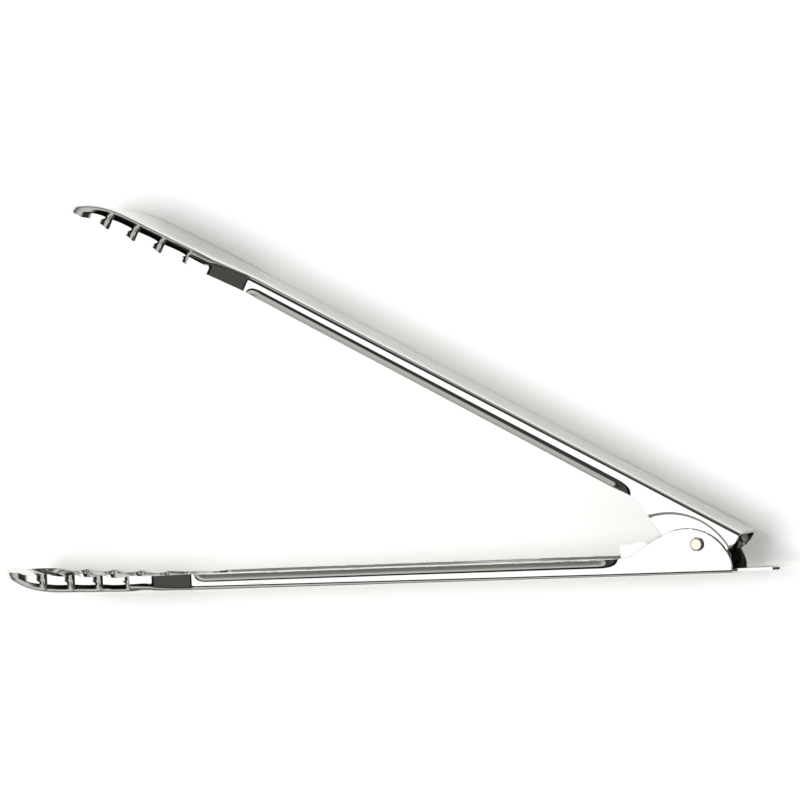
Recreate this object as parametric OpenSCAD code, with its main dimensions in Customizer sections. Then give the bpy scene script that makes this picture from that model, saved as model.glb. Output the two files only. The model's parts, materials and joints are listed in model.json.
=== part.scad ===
// Locking kitchen tongs in polished sheet steel, lying open on their side.
// X runs along the outer arm from the claw to the pull tab, Z is the pivot axis.
// Each arm is drawn in its own frame: pivot at the origin, web below, claw towards -X.

/* [Arms] */
// Length from the pivot to the tip of a claw
reach = 294; // [240:1:340]
// Outside width of the channel
arm_w = 22; // [20:0.5:26]
// Thickness of the sheet
sheet = 0.9; // [0.7:0.1:1.1]
// Height of the pivot over the outer face of the web
pivot_h = 11.3; // [11:0.1:12]
// Depth of the channel, from the web to the edge of the lip
channel_d = 7; // [6:0.1:8]
// How far each lip flares out past the wall
lip_out = 2; // [1:0.1:3]
// Angle between the arms at rest, held open by the spring
open_angle = 29.5; // [20:0.5:32]

/* [Claws] */
// Width across a claw
claw_w = 36; // [32:1:40]
// Distance between two neighbouring teeth
tooth_pitch = 12.7; // [11:0.1:13]
// Depth of a scoop pressed into the side of a claw
scoop_d = 1.6; // [1:0.1:2.2]
// Depth of the notch between two teeth
notch_d = 1; // [0.6:0.1:1.6]

/* [Hinge] */
// Radius of the rounded cheek
cheek_r = 17.3; // [16:0.1:18]
// Radius of the shank of the rivet
shank_r = 2; // [1.5:0.1:2.2]
// Radius of the heads of the rivet
rivet_head_r = 2.4; // [2.4:0.1:3]
// Height of the heads of the rivet
rivet_head_h = 1.5; // [1:0.1:2]
// Thickness of the spring wire
wire_d = 1.6; // [1.2:0.1:1.8]

/* [Lock] */
// How far the lock slide travels
lock_travel = 8; // [6:0.5:9]
// Width of the pull tab
tab_w = 14; // [10:1:15]
// Distance from the pivot to the end of the pull tab
tab_reach = 29.5; // [28:0.5:34]
// Radius of the hang hole
hang_hole_r = 2.4; // [2:0.1:2.6]

/* [Hidden] */
$fn = 96;

// The origin is under the middle of the whole object.
centre_x = (reach - tab_reach) / 2;
centre_y = -68;
centre_z = claw_w / 2;

// Heights, measured from the pivot
web_y = -pivot_h;
floor_y = web_y + sheet;
wall_top_y = web_y + 4.2;
lip_y = web_y + channel_d;
tooth_y = -2.4;

// The web and the teeth of a claw lean inwards, by this much per unit of length
web_lean = 0.018;
tooth_lean = 0.055;
tooth_mid_x = -258;

// Widths, measured from the middle plane
wall_z = arm_w / 2;
gap = 0.15;
inner_wall_z = wall_z - sheet - gap;
corner = 1.2;
eps = 0.01;

// The rear end of both arms, and where each stretch of an arm begins
rear_x = 12.5;
ramp_foot_x = -30;
neck_x = -205;
claw_x = -222;
lip_fade = 8;

// The step that lets one cheek nest inside the other
step_c = [-2.5, 18];
step_r = 26.2;

// Clearances of the hinge
running = 0.05;
bore_r = shank_r + running;
bush_r = 3;

// The claw's nose curves up over this length, by a power law
nose_x = -(reach - 32);
nose_power = 2.4;
nose_steps = 10;

// The side of the claw in plan, as [distance, half width]
claw_side = [
    [neck_x, wall_z],
    [claw_x, 16.4],
    [-236, claw_w / 2],
    [-262, claw_w / 2],
    [-274, 16.6],
    [-283, 13.6],
    [-289, 10],
    [-292.6, 6],
    [-reach, 2],
];
first_scoop_x = -238;
scoops = 4;

// The catch on the inner arm, and the hook on the slide that takes it
lug_x = -11.5;
lug_y = 2.2;
lug_r = 1.1;
lug_reach = 1.3;

// The lock slide
slide_lift = 0.05;
slide_y = floor_y + slide_lift;
slide_z = inner_wall_z - sheet - 0.25;
slide_front_x = -30;
hook_x = -14;
flange_top_y = 0.7;
stop_r = 1.4;
stop_x = -17;

module place() {
    translate([centre_x, centre_y, centre_z]) children();
}

// Turns a flat outline with its length along X into a solid across the arm
module across(z0, z1) {
    translate([0, 0, z0]) linear_extrude(z1 - z0) children();
}

// Sweeps a section, drawn as [height, width], along X
module along(x0, x1) {
    translate([x0, 0, 0]) rotate([90, 0, 90]) linear_extrude(x1 - x0) children();
}

function mirrored(half) = concat(half, [for (i = [len(half) - 1:-1:0]) [half[i][0], -half[i][1]]]);

module channel_section() {
    outer = [
        [web_y, wall_z - corner],
        [web_y + corner, wall_z],
        [wall_top_y, wall_z],
        [lip_y, wall_z + lip_out],
    ];
    inner = [
        [lip_y, wall_z + lip_out - 1.1],
        [wall_top_y + 0.3, wall_z - sheet],
        [floor_y + 0.7, wall_z - sheet],
        [floor_y, wall_z - sheet - 0.7],
    ];
    difference() {
        polygon(mirrored(outer));
        polygon(mirrored(concat([[lip_y + eps, wall_z + lip_out - 1.1]], inner)));
    }
}

// The foot of the cheeks, with the same corners as the channel but no lips
module root_section(height) {
    difference() {
        polygon(mirrored([[web_y, wall_z - corner], [web_y + corner, wall_z], [height, wall_z]]));
        polygon(mirrored([
            [height + eps, wall_z - sheet],
            [floor_y + 0.7, wall_z - sheet],
            [floor_y, wall_z - sheet - 0.7],
        ]));
    }
}

// The lips fade out towards the cheek
module lip_taper() {
    across(-wall_z - lip_out - 1, wall_z + lip_out + 1) polygon([
        [ramp_foot_x + eps, wall_top_y],
        [ramp_foot_x + eps, lip_y + 1],
        [ramp_foot_x - lip_fade, lip_y + 1],
    ]);
}

module channel() {
    difference() {
        along(neck_x, ramp_foot_x) channel_section();
        lip_taper();
    }
    along(ramp_foot_x - eps, rear_x) root_section(wall_top_y);
}

// One cheek seen from the side: a round hump with a ramp down to the wall
module cheek_outline() {
    intersection() {
        union() {
            translate([-4.5, web_y]) circle(cheek_r);
            polygon([
                [ramp_foot_x - 4, web_y],
                [ramp_foot_x - 4, lip_y],
                [ramp_foot_x, lip_y],
                [ramp_foot_x + 4.5, lip_y + 0.9],
                [-14.2, 3.4],
                [-4.5, web_y],
            ]);
        }
        translate([ramp_foot_x - 4, web_y + corner])
            square([rear_x - ramp_foot_x + 4, pivot_h + cheek_r]);
    }
}

module pivot_hole() {
    translate([0, 0, -wall_z - 1]) cylinder(r = bore_r, h = arm_w + 2);
}

module claw_plan(inset) {
    half = [for (p = claw_side) [p[0] + (p[0] < -288 ? inset : 0), p[1] - inset]];
    difference() {
        polygon(mirrored(concat([[neck_x + 2, wall_z - inset]], half)));
        for (i = [0:scoops - 1], side = [-1, 1])
            scoop_cut(first_scoop_x - i * tooth_pitch, side, inset);
    }
}

// Half width of the claw at a place along it
function claw_half(x) = lookup(-x, [for (p = claw_side) [-p[0], p[1]]]);

module scoop_cut(x, side, inset) {
    chord = tooth_pitch / 2;
    r = (chord * chord + scoop_d * scoop_d) / (2 * scoop_d);
    translate([x, side * (claw_half(x) + r - scoop_d)]) circle(r + inset);
}

// Height of the free edge of the claw, never lower than the lips of the channel
function tooth_at(x) = max(lip_y, tooth_y + tooth_lean * (tooth_mid_x - x));

// Height of the web under the claw: a slight lean, then a curve up to the tip
function web_at(x) = let (
    base = web_y + web_lean * (neck_x - x),
    u = max(0, nose_x - x) / (reach + nose_x)
) base + (tooth_at(-reach) - web_y - web_lean * (neck_x + reach)) * pow(u, nose_power);

// The claw from the side
module claw_profile(inset) {
    nose = [for (i = [0:nose_steps]) let (x = nose_x - i / nose_steps * (reach + nose_x))
        [x, web_at(x) + inset]];
    polygon(concat(
        [
            [neck_x + 1, tooth_at(neck_x) + 2 * inset],
            [neck_x + 1, web_y + inset],
            [neck_x, web_y + inset],
        ],
        nose,
        [
            [-reach, tooth_at(-reach) + 2 * inset],
            [claw_x, tooth_at(claw_x) + 2 * inset],
        ]
    ));
}

module claw_block(inset) {
    intersection() {
        rotate([90, 0, 0]) across(-tooth_at(-reach) - 2 * inset, pivot_h) claw_plan(inset);
        across(-claw_w, claw_w) claw_profile(inset);
    }
}

module claw() {
    difference() {
        claw_block(0);
        claw_block(sheet);
        for (i = [0:scoops - 1]) notch(first_scoop_x - i * tooth_pitch, tooth_pitch / 2 - 0.6);
    }
}

module notch(x, half) {
    r = (half * half + notch_d * notch_d) / (2 * notch_d);
    translate([x, tooth_at(x) + r - notch_d, -claw_w]) cylinder(r = r, h = 2 * claw_w);
}

// Two cheeks at the outer level, for the arm that is on the outside
module outer_cheeks() {
    across(wall_z - sheet, wall_z) cheek_outline();
    across(-wall_z, sheet - wall_z) cheek_outline();
}

// Two cheeks that step inwards along an arc, for the arm that nests inside
module stepped_cheek() {
    across(wall_z - sheet, wall_z) difference() {
        cheek_outline();
        translate(step_c) circle(step_r);
    }
    across(inner_wall_z - sheet, inner_wall_z) intersection() {
        cheek_outline();
        translate(step_c) circle(step_r + sheet);
    }
    across(inner_wall_z - sheet, wall_z) intersection() {
        cheek_outline();
        difference() {
            translate(step_c) circle(step_r + sheet);
            translate(step_c) circle(step_r);
        }
    }
}

module outer_arm() {
    color("gainsboro") place() {
        difference() {
            union() {
                channel();
                outer_cheeks();
            }
            pivot_hole();
        }
        claw();
        // the pressed stud that the slot of the lock slide runs on
        translate([stop_x, floor_y - eps, 0]) rotate([-90, 0, 0]) cylinder(r = stop_r, h = 1.6);
    }
}

// The inner arm's frame is the outer arm's, mirrored and opened
module inner_frame() {
    place() rotate([0, 0, -open_angle]) mirror([0, 1, 0]) children();
}

module inner_arm() {
    color("lightgray") inner_frame() {
        difference() {
            union() {
                inner_channel();
                stepped_cheek();
                mirror([0, 0, 1]) stepped_cheek();
            }
            pivot_hole();
        }
        claw();
        for (side = [-1, 1]) catch_lug(side);
    }
}

// The same channel, with its low walls cut back where the cheeks step inwards
module inner_channel() {
    difference() {
        channel();
        across(-wall_z - 1, wall_z + 1) translate(step_c) circle(step_r);
    }
}

module catch_lug(side) {
    z = inner_wall_z - sheet - lug_reach;
    translate([lug_x, lug_y, side > 0 ? z : -z - lug_reach - eps])
        cylinder(r = lug_r, h = lug_reach + eps);
}

module pivot_rivet() {
    dome_h = 0.6;
    color("silver") place() {
        translate([0, 0, -wall_z - eps]) cylinder(r = shank_r, h = arm_w + 2 * eps);
        for (side = [-1, 1]) mirror([0, 0, side < 0 ? 1 : 0]) translate([0, 0, wall_z])
            rotate_extrude() polygon([
                [0, 0],
                [rivet_head_r, 0],
                [rivet_head_r, rivet_head_h - dome_h],
                [rivet_head_r - dome_h, rivet_head_h],
                [0, rivet_head_h],
            ]);
    }
}

module spring_bush() {
    half = inner_wall_z - sheet - 0.1;
    color("darkgray") place() difference() {
        translate([0, 0, -half]) cylinder(r = bush_r, h = 2 * half);
        translate([0, 0, -half - 1]) cylinder(r = bore_r, h = 2 * half + 2);
    }
}

// The wound stretch of the spring as one ring, with a leg along each arm
module torsion_spring() {
    ring_r = bush_r + 0.3;
    coil_half = 4.8;
    leg_z = coil_half - wire_d / 2;
    color("dimgray") {
        place() difference() {
            translate([0, 0, -coil_half]) cylinder(r = ring_r + wire_d, h = 2 * coil_half);
            translate([0, 0, -coil_half - 1]) cylinder(r = ring_r, h = 2 * coil_half + 2);
        }
        place() spring_leg(ring_r + wire_d / 2, leg_z);
        inner_frame() spring_leg(ring_r + wire_d / 2, -leg_z);
    }
}

module spring_leg(r, z) {
    leg = 26;
    drop = -(slide_y + sheet + wire_d / 2 + 0.1) - r;
    translate([0, -r, z]) rotate([0, 0, atan2(drop, leg)]) rotate([0, -90, 0])
        cylinder(r = wire_d / 2, h = leg);
}

// One upright side of the slide, low behind and tall with a hook in front
module flange_outline() {
    low_y = -bush_r - 0.7;
    mouth = lug_r + 0.35;
    difference() {
        union() {
            translate([slide_front_x, slide_y])
                square([hook_x - slide_front_x, flange_top_y - slide_y]);
            translate([slide_front_x, slide_y])
                square([6 - slide_front_x, low_y - slide_y]);
        }
        translate([hook_x - lock_travel, -lug_y - mouth])
            square([lock_travel + eps, 2 * mouth]);
    }
}

module lock_slide() {
    slot_half = stop_r + 0.25;
    color("whitesmoke") place() difference() {
        union() {
            rotate([90, 0, 0]) across(-slide_y - sheet, -slide_y) difference() {
                strip_outline();
                hull() {
                    translate([stop_x, 0]) circle(slot_half);
                    translate([stop_x - lock_travel, 0]) circle(slot_half);
                }
            }
            across(slide_z - sheet, slide_z) flange_outline();
            across(-slide_z, sheet - slide_z) flange_outline();
        }
        translate([tab_reach - 6.4, slide_y - 1, 0]) rotate([-90, 0, 0])
            cylinder(r = hang_hole_r, h = sheet + 2);
    }
}

module strip_outline() {
    nose_r = 3;
    translate([slide_front_x, -slide_z]) square([6 - slide_front_x, 2 * slide_z]);
    translate([0, -tab_w / 2]) square([tab_reach - nose_r, tab_w]);
    translate([tab_reach - nose_r - eps, nose_r - tab_w / 2]) square([nose_r + eps, tab_w - 2 * nose_r]);
    for (side = [-1, 1]) translate([tab_reach - nose_r, side * (tab_w / 2 - nose_r)]) circle(nose_r);
}

outer_arm();
inner_arm();
pivot_rivet();
spring_bush();
torsion_spring();
lock_slide();
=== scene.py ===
import json
import math

import bpy
import numpy as np
from mathutils import Matrix, Vector


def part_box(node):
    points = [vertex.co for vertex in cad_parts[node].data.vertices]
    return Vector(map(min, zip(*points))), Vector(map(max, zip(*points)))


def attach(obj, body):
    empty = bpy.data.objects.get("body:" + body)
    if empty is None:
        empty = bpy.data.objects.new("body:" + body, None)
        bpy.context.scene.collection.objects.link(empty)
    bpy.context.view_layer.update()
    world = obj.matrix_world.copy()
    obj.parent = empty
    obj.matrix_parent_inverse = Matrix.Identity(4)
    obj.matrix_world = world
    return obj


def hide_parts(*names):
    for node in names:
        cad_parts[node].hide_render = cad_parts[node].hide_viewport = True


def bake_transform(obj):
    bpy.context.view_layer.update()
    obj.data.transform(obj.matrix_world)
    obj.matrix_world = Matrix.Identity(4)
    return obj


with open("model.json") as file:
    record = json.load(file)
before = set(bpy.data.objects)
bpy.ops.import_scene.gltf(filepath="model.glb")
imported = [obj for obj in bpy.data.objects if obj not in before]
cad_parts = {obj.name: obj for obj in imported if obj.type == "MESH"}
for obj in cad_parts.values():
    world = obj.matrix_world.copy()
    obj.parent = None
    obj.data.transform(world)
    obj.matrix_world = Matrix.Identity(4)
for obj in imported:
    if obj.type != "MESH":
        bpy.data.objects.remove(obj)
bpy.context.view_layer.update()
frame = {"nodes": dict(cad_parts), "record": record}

# ---------------------------------------------------------------- sizes
# Where the frame holds a size, it is read from there. X is measured from the pivot, along an arm.
MM = 0.001
JOINTS = {j["name"]: j for j in frame["record"]["behaviour"]["joints"]}
PIVOT = Vector(JOINTS["arm_hinge"]["pos_m"])
ARM_LOW, ARM_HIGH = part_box("outer_arm")
RIVET_LOW, RIVET_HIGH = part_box("pivot_rivet")
BUSH_LOW, BUSH_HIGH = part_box("spring_bush")

REACH = PIVOT.x - ARM_LOW.x
REAR = ARM_HIGH.x - PIVOT.x
WEB = ARM_LOW.y - PIVOT.y
CLAW_HALF = (ARM_HIGH.z - ARM_LOW.z) / 2
OPEN = math.radians(29.5)

# the channel, its lips and the rivet's hole
SHEET = 0.9 * MM
WALL = 11 * MM
HOLE_R = 2.15 * MM
CHANNEL_TOP = WEB + 7 * MM
TOOTH_TOP = WEB + 8.9 * MM
LIP_OUT = 1.9 * MM
LIP_FOOT = WEB + 4.6 * MM
LIP_BEND = 1.35 * MM
# the claw: its scoops, teeth, neck and nose
PITCH = 12.7 * MM
SCOOP_FIRST = -237.6 * MM
SCOOPS = 4
SCOOP_DEPTH = 0.75 * MM
FACET = 2.2 * MM
FACET_LEAN = math.radians(11.5)
SHARP_FLANK = 24
LOW_FLANK = 7
HIGH_FLANK = 3
NOTCH_DEPTH = 1.0 * MM
TOOTH_LEAN = 0.055
TOOTH_MID = -258 * MM
WEB_LEAN = 0.018
LIP_START = -205 * MM
FLARE_END = -221.5 * MM
NECK_HALF = 16.6 * MM
CLAW_FULL = -240 * MM
NOSE = REACH - 32 * MM
NOSE_POWER = 6.0
NOSE_RISE_POWER = 2.4
# the cheeks, and the arc where the inner arm's cheeks step in
CHEEK_R = 17.3 * MM
CHEEK_X = -4.5 * MM
RAMP_FOOT = -30 * MM
RAMP_END = (-14.2 * MM, 3.4 * MM)
STEP_CENTRE = (-2.5 * MM, 18 * MM)
STEP_R = 26.2 * MM
STEP_IN = 1.05 * MM
# the slide's stop stud, the catch lugs and the spring
STOP_X = -17 * MM
LUG_AT = (-11.5 * MM, 2.2 * MM)
LUG_FOOT = 9.3 * MM
WIRE_R = 0.8 * MM
COIL_HALF = 4 * MM
COIL_TURNS = 4.5
SPRING_LEG = 25 * MM
SPRING_DROP = 4.35 * MM

LAMP_TOWARDS = (-0.38, 0.02, 0.92)
DARK_TOWARDS = (0.382, -0.024, 0.924)
LAMP_POWER = 1.45
WALLS = [(0.0, 0.12), (0.15, 0.14), (0.28, 0.3), (0.42, 0.62), (0.7, 0.7)]


# ---------------------------------------------------------------- materials
def new_material(name):
    mat = bpy.data.materials.new(name)
    mat.use_nodes = True
    nodes = mat.node_tree.nodes
    return mat, nodes, mat.node_tree.links, nodes["Principled BSDF"]


def steel(name, tint, roughness, streak=0.0, grain=(900.0, 60.0), wobble=0.02):
    """Polished or drawn steel: a faint patchy tone, fine scratches and a slightly wavy sheet."""
    mat, nodes, links, shader = new_material(name)
    shader.inputs["Metallic"].default_value = 1.0
    place = nodes.new("ShaderNodeTexCoord")

    patches = nodes.new("ShaderNodeTexNoise")
    patches.inputs["Scale"].default_value = 38.0
    patches.inputs["Detail"].default_value = 3.0
    links.new(place.outputs["Object"], patches.inputs["Vector"])
    tone = nodes.new("ShaderNodeValToRGB")
    tone.color_ramp.elements[0].position = 0.3
    tone.color_ramp.elements[0].color = (*[c * 0.94 for c in tint], 1)
    tone.color_ramp.elements[1].position = 0.7
    tone.color_ramp.elements[1].color = (*tint, 1)
    links.new(patches.outputs["Fac"], tone.inputs["Fac"])
    links.new(tone.outputs["Color"], shader.inputs["Base Color"])

    stretch = nodes.new("ShaderNodeMapping")
    stretch.inputs["Scale"].default_value = (grain[1], grain[0], grain[0])
    links.new(place.outputs["Object"], stretch.inputs["Vector"])
    lines = nodes.new("ShaderNodeTexNoise")
    lines.inputs["Scale"].default_value = 1.0
    lines.inputs["Detail"].default_value = 4.0
    links.new(stretch.outputs["Vector"], lines.inputs["Vector"])
    rough = nodes.new("ShaderNodeMapRange")
    rough.inputs["From Min"].default_value = 0.3
    rough.inputs["From Max"].default_value = 0.7
    rough.inputs["To Min"].default_value = roughness * 0.7
    rough.inputs["To Max"].default_value = roughness * 1.4
    links.new(lines.outputs["Fac"], rough.inputs["Value"])
    links.new(rough.outputs["Result"], shader.inputs["Roughness"])

    waves = nodes.new("ShaderNodeTexNoise")
    waves.inputs["Scale"].default_value = 70.0
    waves.inputs["Detail"].default_value = 1.0
    links.new(place.outputs["Object"], waves.inputs["Vector"])
    wavy = nodes.new("ShaderNodeBump")
    wavy.inputs["Strength"].default_value = wobble
    wavy.inputs["Distance"].default_value = 0.0006
    links.new(waves.outputs["Fac"], wavy.inputs["Height"])
    scratched = nodes.new("ShaderNodeBump")
    scratched.inputs["Strength"].default_value = streak
    scratched.inputs["Distance"].default_value = 0.00002
    links.new(lines.outputs["Fac"], scratched.inputs["Height"])
    links.new(wavy.outputs["Normal"], scratched.inputs["Normal"])
    links.new(scratched.outputs["Normal"], shader.inputs["Normal"])
    return mat


# ---------------------------------------------------------------- mesh helpers
def link_mesh(name, verts, faces, material):
    mesh = bpy.data.meshes.new(name)
    mesh.from_pydata([tuple(v) for v in verts], [], faces)
    mesh.update()
    mesh.materials.append(material)
    piece = bpy.data.objects.new(name, mesh)
    bpy.context.scene.collection.objects.link(piece)
    return piece


def make_piece(name, verts, faces, material, body, slot, replaces=()):
    """A smooth-shaded piece with sharp edges, on one body."""
    piece = link_mesh(name, verts, faces, material)
    piece.data.shade_smooth()
    piece.data.set_sharp_from_angle(angle=math.radians(35))
    if replaces:
        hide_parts(*replaces)
    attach(piece, body)
    return piece


def smoothstep(x, low, high):
    t = np.clip((x - low) / (high - low), 0, 1)
    return t * t * (3 - 2 * t)


def softened(x, y, width):
    """y(x) on an even grid, with its corners rounded over width."""
    n = max(1, int(width / (x[1] - x[0])))
    kernel = np.hanning(n + 2)
    kernel /= kernel.sum()
    half = len(kernel) // 2
    padded = np.concatenate([np.full(half, y[0]), y, np.full(half, y[-1])])
    return np.convolve(padded, kernel, mode="same")[half:half + len(y)]


# ---------------------------------------------------------------- the arms
def half_width(x):
    """Half the width of an arm between the middles of its walls."""
    grid = np.linspace(-REACH, REAR, 2400)
    body = np.interp(grid, [FLARE_END, LIP_START - 2 * MM], [NECK_HALF, WALL])
    claw = np.interp(grid, [-NOSE, CLAW_FULL, FLARE_END], [CLAW_HALF, CLAW_HALF, NECK_HALF])
    flat = softened(grid, np.where(grid < FLARE_END, claw, body), 3 * MM)
    u = np.clip((-NOSE - x) / (REACH - NOSE), 0, 1)
    nose = np.power(np.clip(1 - np.power(u, NOSE_POWER), 0, 1), 0.5)
    return np.interp(x, grid, flat) * nose


def tooth_line(x):
    return np.maximum(CHANNEL_TOP, TOOTH_TOP + TOOTH_LEAN * (TOOTH_MID - x))


def web_height(x):
    base = WEB + WEB_LEAN * np.clip(LIP_START - x, 0, None)
    u = np.clip((-NOSE - x) / (REACH - NOSE), 0, 1)
    rise = tooth_line(-REACH) - WEB - WEB_LEAN * (LIP_START + REACH)
    return base + rise * np.power(u, NOSE_RISE_POWER)


def scoop_at(x):
    """The scoop nearest to x, 0 next to the neck, and how far across it x is, from -1 to 1."""
    index = round((SCOOP_FIRST - x) / PITCH)
    return index, (x - (SCOOP_FIRST - index * PITCH)) / (PITCH / 2)


def edge_height(x):
    """Height of the free edge: round cheek, ramp, teeth, and the neck that leads to the lips."""
    if x > RAMP_END[0]:
        return WEB + max(math.sqrt(max(CHEEK_R ** 2 - (x - CHEEK_X) ** 2, 0)), 3 * MM)
    if x > RAMP_FOOT:
        return np.interp(x, [RAMP_FOOT, RAMP_FOOT + 4.5 * MM, RAMP_END[0]],
                         [CHANNEL_TOP, CHANNEL_TOP + 0.9 * MM, RAMP_END[1]])
    if x >= FLARE_END:
        return np.interp(x, [FLARE_END, LIP_START], [tooth_line(FLARE_END), CHANNEL_TOP])
    index, phase = scoop_at(x)
    notch = NOTCH_DEPTH * (1 - phase ** 2) if 0 <= index < SCOOPS else 0
    return tooth_line(x) - notch


def web_and_corner(bottom, w, corner, facet, lean):
    """Half the web, the corner and the leaning facet over it, and how far out the corner starts."""
    sweep = math.pi / 2 - lean
    foot = max(w - corner * math.sin(sweep) - facet * math.sin(lean), 0)
    points = [(bottom, foot * k / 8) for k in range(8)]
    for k in range(13):
        a = sweep * k / 12
        points.append((bottom + corner * (1 - math.cos(a)), foot + corner * math.sin(a)))
    y0, z0 = points[-1]
    for k in range(1, 5):
        points.append((y0 + facet * math.cos(lean) * k / 4, z0 + facet * math.sin(lean) * k / 4))
    return points, foot, y0


def lip_flare(x):
    """How far the lip stands out at x, with soft ends."""
    begins = float(smoothstep(x, LIP_START - 1 * MM, LIP_START + 5 * MM))
    ends = 1 - float(smoothstep(x, RAMP_FOOT - 8 * MM, RAMP_FOOT))
    return LIP_OUT * begins * ends


def step_in(x, y):
    """How far the cheek of the nesting arm is set in at a place."""
    d = math.hypot(x - STEP_CENTRE[0], y - STEP_CENTRE[1]) - STEP_R
    return STEP_IN * (1 - float(smoothstep(d, -0.35 * MM, 0.35 * MM)))


def arm_surface(x, nests):
    """The middle surface of the sheet at station x: points from the middle of the web to one edge."""
    w = float(half_width(x)) - SHEET / 2
    bottom = float(web_height(x)) + SHEET / 2
    top = float(edge_height(x))
    height = max(top - bottom, 0.05 * MM)
    corner = np.interp(x, [SCOOP_FIRST + PITCH / 2, FLARE_END, LIP_START, RAMP_FOOT],
                       [2.0 * MM, 2.6 * MM, 2.0 * MM, 1.2 * MM])
    corner = min(corner, 0.45 * height, 0.7 * max(w, 0.1 * MM))
    hollow = 1 - float(smoothstep(x, SCOOP_FIRST + PITCH / 2, LIP_START - 6 * MM))
    facet = min(FACET * hollow, 0.26 * height) + 0.02 * MM
    points, foot, corner_top = web_and_corner(bottom, w, corner, facet, FACET_LEAN * hollow)
    start = points[-1][0]
    flare = lip_flare(x)
    points += [lip_point(t, start, top, w, flare) for t in wall_steps(x, start, top, nests)]

    out = []
    for y, z in points:
        pressed = SCOOP_DEPTH * hollow * (1 - ridge(x, (y - bottom) / height))
        z = max(z - pressed * min(z / max(foot, 0.1 * MM), 1), 0)
        if nests and x > RAMP_FOOT and y > corner_top:
            z -= step_in(x, y)
        out.append((x, y, z))
    return out


def ridge(x, rise):
    """How far a ridge between two scoops stands out: sharp on one flank, gentle on the other."""
    index, phase = scoop_at(x)
    fade = float(smoothstep(rise, 0.1, 0.4))
    if index < 0:
        return fade
    if index >= SCOOPS or (index == SCOOPS - 1 and phase < 0):
        return 0
    gentle = float(np.interp(rise, [0.45, 0.75], [LOW_FLANK, HIGH_FLANK]))
    return fade * abs(phase) ** (SHARP_FLANK if phase < 0 else gentle)


def wall_steps(x, start, top, nests):
    """Where the points up a wall go: evenly, or gathered where the cheek steps inwards."""
    even = [k / 32 for k in range(1, 33)]
    gather = float(smoothstep(x, RAMP_FOOT, RAMP_FOOT + 8 * MM))
    if not nests or gather == 0:
        return even
    across = max(STEP_R ** 2 - (x - STEP_CENTRE[0]) ** 2, 0) ** 0.5
    slant = STEP_R / max(across, 8 * MM)
    middle = (STEP_CENTRE[1] - across - start) / (top - start)
    half = 0.7 * MM * slant / (top - start)
    middle = min(max(middle, half * 1.2), 1 - half * 1.2)
    below = [(middle - half) * k / 3 for k in range(1, 4)]
    band = [middle - half + 2 * half * k / 12 for k in range(1, 13)]
    above = [middle + half + (1 - middle - half) * k / 17 for k in range(1, 18)]
    return [e + gather * (g - e) for e, g in zip(even, below + band + above)]


def lip_point(t, start, top, w, flare):
    """A point along the wall and its lip, with a rounded bend between the two."""
    y = start + (top - start) * t
    if flare == 0:
        return y, w
    slope = flare / max(top - LIP_FOOT, 0.1 * MM)
    reach = (y - LIP_FOOT) / LIP_BEND
    eased = LIP_BEND * (math.log1p(math.exp(min(reach * 3, 40))) / 3)
    return y, w + slope * min(eased, max(top - LIP_FOOT, 0))


def stations():
    nose = [-REACH + (REACH - NOSE) * (1 - math.cos(math.pi / 2 * k / 40)) * 0.35 for k in range(40)]
    xs = list(np.arange(-REACH + 0.35 * (REACH - NOSE), FLARE_END - 9 * MM, 0.35 * MM))
    xs += list(np.arange(FLARE_END - 9 * MM, LIP_START + 8 * MM, 0.5 * MM))
    xs += list(np.arange(LIP_START + 8 * MM, RAMP_FOOT - 12 * MM, 3 * MM))
    xs += list(np.arange(RAMP_FOOT - 12 * MM, REAR, 0.35 * MM)) + [REAR]
    teeth = [SCOOP_FIRST - PITCH * (k - 0.5) for k in range(SCOOPS + 1)]
    return sorted(set(round(v, 7) for v in nose + xs + teeth))


def arm_mesh(nests):
    xs = stations()
    rows = []
    for x in xs:
        half = arm_surface(x, nests)
        rows.append([(p[0], p[1], -p[2]) for p in half[:0:-1]] + half)
    count = len(rows[0])
    verts = [p for row in rows for p in row]
    faces = []
    for r in range(len(rows) - 1):
        for c in range(count - 1):
            a = r * count + c
            faces.append((a, a + 1, a + count + 1, a + count))
    return pierce(np.array(verts), faces)


def pierce(verts, faces):
    """Opens the rivet's hole in both cheeks: points near it move onto its rim, what is left inside goes."""
    far = np.hypot(verts[:, 0], verts[:, 1])
    near = (far < HOLE_R + 0.3 * MM) & (abs(verts[:, 2]) > WALL / 2)
    verts[near, :2] *= (HOLE_R / np.maximum(far[near], 1e-9))[:, None]
    kept = [f for f in faces if not all(near[i] for i in f)]
    used = sorted({i for f in kept for i in f})
    place = {old: new for new, old in enumerate(used)}
    return verts[used], [tuple(place[i] for i in f) for f in kept]


def round_edges(piece, width):
    edge = piece.modifiers.new("edge", "BEVEL")
    edge.width = width
    edge.segments = 2
    edge.limit_method = "ANGLE"
    edge.angle_limit = math.radians(60)


def finish_sheet(piece):
    """Gives the surface its thickness, and takes the sharpness off the cut edges."""
    sheet = piece.modifiers.new("sheet", "SOLIDIFY")
    sheet.thickness = SHEET
    sheet.offset = 0
    sheet.use_even_offset = False
    round_edges(piece, 0.16 * MM)


def outer_arm(material):
    verts, faces = arm_mesh(nests=False)
    verts = verts + np.array(PIVOT)
    finish_sheet(make_piece("outer_arm_pressing", verts, faces, material, "outer_arm", "arm_steel",
                            replaces=("outer_arm",)))


def inner_frame(x, y):
    """From the frame of an arm to the opened, mirrored place of the inner arm, still at the pivot."""
    c, s = math.cos(-OPEN), math.sin(-OPEN)
    return x * c + y * s, x * s - y * c


def inner_arm(material):
    verts, faces = arm_mesh(nests=True)
    verts[:, 0], verts[:, 1] = inner_frame(verts[:, 0].copy(), verts[:, 1].copy())
    faces = [tuple(reversed(f)) for f in faces]
    finish_sheet(make_piece("inner_arm_pressing", verts + np.array(PIVOT), faces, material, "inner_arm",
                            "arm_steel", replaces=("inner_arm",)))


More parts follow.
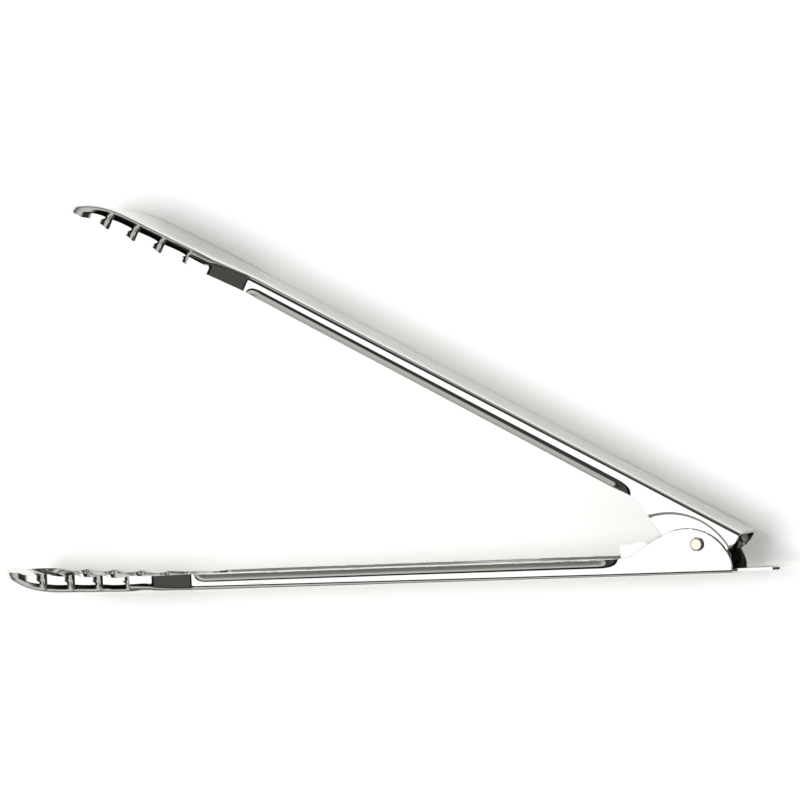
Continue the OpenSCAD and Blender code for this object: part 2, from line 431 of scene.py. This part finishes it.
# ---------------------------------------------------------------- rivet, bush and spring
def lathe(name, profile, foot, axis, turns, **piece):
    """Turns a profile of [radius, height] round an axis that starts at foot, closed at both ends."""
    turn = Vector(axis).to_track_quat("Z", "Y").to_matrix()
    verts, faces = [], []
    for k in range(turns):
        a = 2 * math.pi * k / turns
        verts += [foot + turn @ Vector((r * math.cos(a), r * math.sin(a), h)) for r, h in profile]
    n = len(profile)
    for k in range(turns):
        j = (k + 1) % turns
        faces += [(k * n + i, j * n + i, j * n + i + 1, k * n + i + 1) for i in range(n - 1)]
    faces.append(tuple(k * n for k in reversed(range(turns))))
    faces.append(tuple(k * n + n - 1 for k in range(turns)))
    return make_piece(name, verts, faces, **piece)


def rounded_rim(radius, height, edge, steps):
    """The stretch of a profile from the side of a head, round its rim, to its flat top."""
    angles = [math.pi / 2 * k / steps for k in range(steps + 1)]
    return [(radius - edge * (1 - math.cos(a)), height - edge * (1 - math.sin(a))) for a in angles]


def rivet(material):
    """A plain shank between two flat heads with rounded edges."""
    shank, head = 2.0 * MM, (RIVET_HIGH.x - RIVET_LOW.x) / 2
    tall, edge = RIVET_HIGH.z - PIVOT.z, 0.55 * MM
    foot = WALL + 0.02 * MM
    half = [(shank, 0), (shank, foot), (head - 0.1 * MM, foot), (head, foot + 0.15 * MM)]
    half += rounded_rim(head, tall, edge, 8)
    half += [(head - edge - 0.04 * MM, tall), (0.3 * MM, tall)]
    profile = [(r, -h) for r, h in half[:0:-1]] + half
    lathe("pivot_rivet_turned", profile, PIVOT, (0, 0, 1), 64, material=material, body="outer_arm",
          slot="rivet_steel", replaces=("pivot_rivet",))


def stud(name, foot, axis, radius, height, material, body):
    """A short round stud pressed out of an arm, with a rounded rim."""
    profile = [(radius, 0)] + rounded_rim(radius, height, 0.3 * MM, 6)
    lathe(name, profile, foot, axis, 32, material=material, body=body, slot="arm_steel")


def catch_studs(material):
    """The stud that the lock slide runs on, and the two lugs that its hooks take."""
    stud("slide_stop_stud", PIVOT + Vector((STOP_X, WEB + 0.7 * MM, 0)), (0, 1, 0), 1.4 * MM, 1.8 * MM,
         material, "outer_arm")
    x, y = inner_frame(*LUG_AT)
    for name, side in (("catch_lug_high", 1), ("catch_lug_low", -1)):
        stud(name, PIVOT + Vector((x, y, side * LUG_FOOT)), (0, 0, -side), 1.1 * MM, 1.55 * MM,
             material, "inner_arm")


def spring_path():
    """Down one leg, round the coil and out along the other leg."""
    coil = (BUSH_HIGH.x - BUSH_LOW.x) / 2 + 1.15 * MM
    half, leg = COIL_HALF, SPRING_LEG
    drop = math.atan2(SPRING_DROP, leg)
    first = -math.pi / 2 - drop
    sweep = 2 * math.pi * COIL_TURNS - OPEN + 2 * drop
    path = []
    for k in range(25):
        t = 1 - k / 24
        path.append((coil * math.cos(first) - leg * t * math.cos(drop),
                     coil * math.sin(first) - leg * t * math.sin(drop), half))
    steps = 220
    for k in range(1, steps + 1):
        t = k / steps
        a = first + sweep * t
        path.append((coil * math.cos(a), coil * math.sin(a), half - 2 * half * t))
    last = first + sweep
    for k in range(1, 25):
        t = k / 24
        path.append((coil * math.cos(last) - leg * t * math.sin(last),
                     coil * math.sin(last) + leg * t * math.cos(last), -half))
    return [PIVOT + Vector(p) for p in path]


def tube(name, path, radius, material, sides=12):
    verts, faces = [], []
    up = Vector((0, 0, 1))
    for i, p in enumerate(path):
        ahead = path[min(i + 1, len(path) - 1)] - path[max(i - 1, 0)]
        ahead.normalize()
        side = ahead.cross(up).normalized()
        normal = side.cross(ahead).normalized()
        for k in range(sides):
            a = 2 * math.pi * k / sides
            verts.append(p + radius * (math.cos(a) * side + math.sin(a) * normal))
    for i in range(len(path) - 1):
        for k in range(sides):
            j = (k + 1) % sides
            faces.append((i * sides + k, i * sides + j, (i + 1) * sides + j, (i + 1) * sides + k))
    faces.append(tuple(reversed(range(sides))))
    faces.append(tuple((len(path) - 1) * sides + k for k in range(sides)))
    piece = link_mesh(name, verts, faces, material)
    piece.data.shade_smooth()
    return piece


def spring(material):
    """The wound wire, which twists between the two arms."""
    coil = tube("torsion_spring_wire", spring_path(), WIRE_R, material)
    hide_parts("torsion_spring")
    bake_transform(coil)


def carried_over(node, material):
    """Gives a CAD node that stays as it is its material."""
    materials = frame["nodes"][node].data.materials
    materials.clear()
    materials.append(material)


# ---------------------------------------------------------------- the scene
def camera():
    # The photograph's view: over the hinge end, looking down at the tongs on their side.
    back = Vector((0.38194, -0.02400, 0.92388))
    up = Vector((0.05728, 0.99836, 0.00226))
    data = bpy.data.cameras.new("camera")
    data.lens = 117
    data.sensor_width = 36
    data.clip_end = 20
    cam = bpy.data.objects.new("camera", data)
    bpy.context.scene.collection.objects.link(cam)
    right = up.cross(back)
    turn = Matrix((right, up, back)).transposed().to_4x4()
    cam.matrix_world = Matrix.Translation(Vector((0.39716, -0.03262, 0.94557))) @ turn
    bpy.context.scene.camera = cam


def sunlight():
    """The light of the lamp on the floor, and the light that the pale room sends back."""
    for name, towards, angle, energy in (("lamp", LAMP_TOWARDS, 36, 1.9), ("fill", (0, 0, 1), 150, 1.6)):
        data = bpy.data.lights.new(name, "SUN")
        data.angle = math.radians(angle)
        data.energy = energy
        lamp = bpy.data.objects.new(name, data)
        bpy.context.scene.collection.objects.link(lamp)
        lamp.visible_glossy = False
        lamp.matrix_world = Vector(towards).to_track_quat("Z", "Y").to_matrix().to_4x4()


def stops_of(ramp, stops):
    """Sets a colour ramp's stops from [position, grey]."""
    while len(ramp.elements) < len(stops):
        ramp.elements.new(0.5)
    for element, (at, value) in zip(ramp.elements, stops):
        element.position = at
    for element, (at, value) in zip(ramp.elements, stops):
        element.color = (value, value, value * 0.985, 1)


def studio():
    """A pale room with a lamp overhead, and a dark corner round the camera's side."""
    world = bpy.data.worlds.new("studio")
    bpy.context.scene.world = world
    world.use_nodes = True
    nodes, links = world.node_tree.nodes, world.node_tree.links
    ground = nodes["Background"]
    place = nodes.new("ShaderNodeTexCoord")

    def towards(direction):
        facing = nodes.new("ShaderNodeVectorMath")
        facing.operation = "DOT_PRODUCT"
        links.new(place.outputs["Generated"], facing.inputs[0])
        facing.inputs[1].default_value = direction
        return facing.outputs["Value"]

    def shade(direction, stops):
        ramp = nodes.new("ShaderNodeValToRGB")
        stops_of(ramp.color_ramp, stops)
        links.new(towards(direction), ramp.inputs["Fac"])
        return ramp.outputs["Color"]

    def combine(operation, first, second):
        both = nodes.new("ShaderNodeVectorMath")
        both.operation = operation
        links.new(first, both.inputs[0])
        links.new(second, both.inputs[1])
        return both.outputs["Vector"]

    walls = shade((0, 0, 1), WALLS)
    corner = shade(DARK_TOWARDS, [(0.0, 1.0), (0.46, 1.0), (0.54, 0.05), (0.8, 0.1), (1.0, 0.13)])
    rim = shade(LAMP_TOWARDS, [(0.0, 1.0), (0.855, 1.0), (0.885, 0.04), (1.0, 0.04)])
    lamp = nodes.new("ShaderNodeMapRange")
    lamp.inputs["From Min"].default_value = 0.955
    lamp.inputs["From Max"].default_value = 0.968
    lamp.inputs["To Max"].default_value = LAMP_POWER
    links.new(towards(LAMP_TOWARDS), lamp.inputs["Value"])
    room = combine("MULTIPLY", combine("MULTIPLY", walls, corner), rim)
    links.new(combine("ADD", room, lamp.outputs["Result"]), ground.inputs["Color"])
    ground.inputs["Strength"].default_value = 1.0


def floor():
    mat, _, _, shader = new_material("pale_floor")
    shader.inputs["Base Color"].default_value = (0.93, 0.93, 0.92, 1)
    shader.inputs["Roughness"].default_value = 0.6
    corners = [(-3, -3, 0), (3, -3, 0), (3, 3, 0), (-3, 3, 0)]
    link_mesh("floor", corners, [(0, 1, 2, 3)], mat)


arm_steel = steel("polished_arm_steel", (0.78, 0.77, 0.745), 0.07, streak=0.25)
slide_steel = steel("polished_strip_steel", (0.82, 0.81, 0.79), 0.14, streak=0.4)
rivet_steel = steel("rivet_head_steel", (0.74, 0.70, 0.60), 0.12, streak=0.2)
wire_steel = steel("drawn_wire_steel", (0.62, 0.61, 0.60), 0.26, streak=0.6)
bush_steel = steel("drawn_tube_steel", (0.66, 0.65, 0.64), 0.3, streak=0.6)

outer_arm(arm_steel)
inner_arm(arm_steel)
catch_studs(arm_steel)
rivet(rivet_steel)
spring(wire_steel)
carried_over("lock_slide", slide_steel)
carried_over("spring_bush", bush_steel)
round_edges(frame["nodes"]["lock_slide"], 0.15 * MM)

bpy.context.scene.view_settings.view_transform = "Standard"
camera()
studio()
sunlight()
floor()
